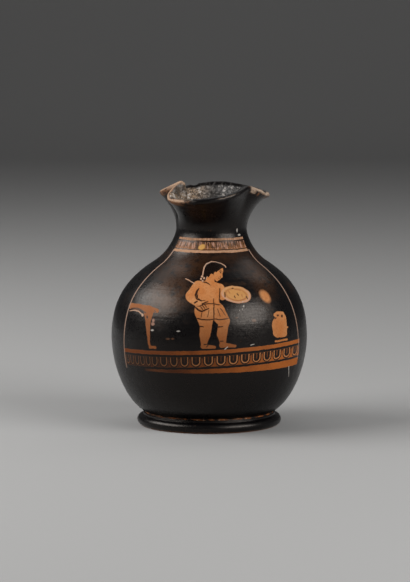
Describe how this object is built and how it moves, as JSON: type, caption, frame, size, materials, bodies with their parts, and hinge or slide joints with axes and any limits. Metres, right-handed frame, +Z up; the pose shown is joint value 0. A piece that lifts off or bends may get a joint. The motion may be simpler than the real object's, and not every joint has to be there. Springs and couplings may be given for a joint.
{
  "type": "chous",
  "caption": "Squat round-bellied wine jug with a pinched trefoil mouth, short neck, ring foot and one low strap handle.",
  "frame": {"origin": "centre of the foot's resting plane, which is also the centre of the whole jug's box at its base", "axes": "+Z up through the mouth, -Y towards the painted front and the pouring lobe, +Y towards the handle, +X to the viewer's right"},
  "size_m": [0.084, 0.084, 0.1046],
  "materials": {
    "painted_wall": "satin black gloss with reserved orange-brown clay figures",
    "glossed_foot": "satin black gloss with a reserved line",
    "glossed_handle": "satin black gloss",
    "clay_slip": "matt fired clay"
  },
  "bodies": {
    "root": {"body": "painted_wall", "foot": "glossed_foot", "foot_slip": "clay_slip", "handle": "glossed_handle", "handle_rim_slip": "glossed_handle", "handle_belly_slip": "glossed_handle"}
  },
  "joints": []
}
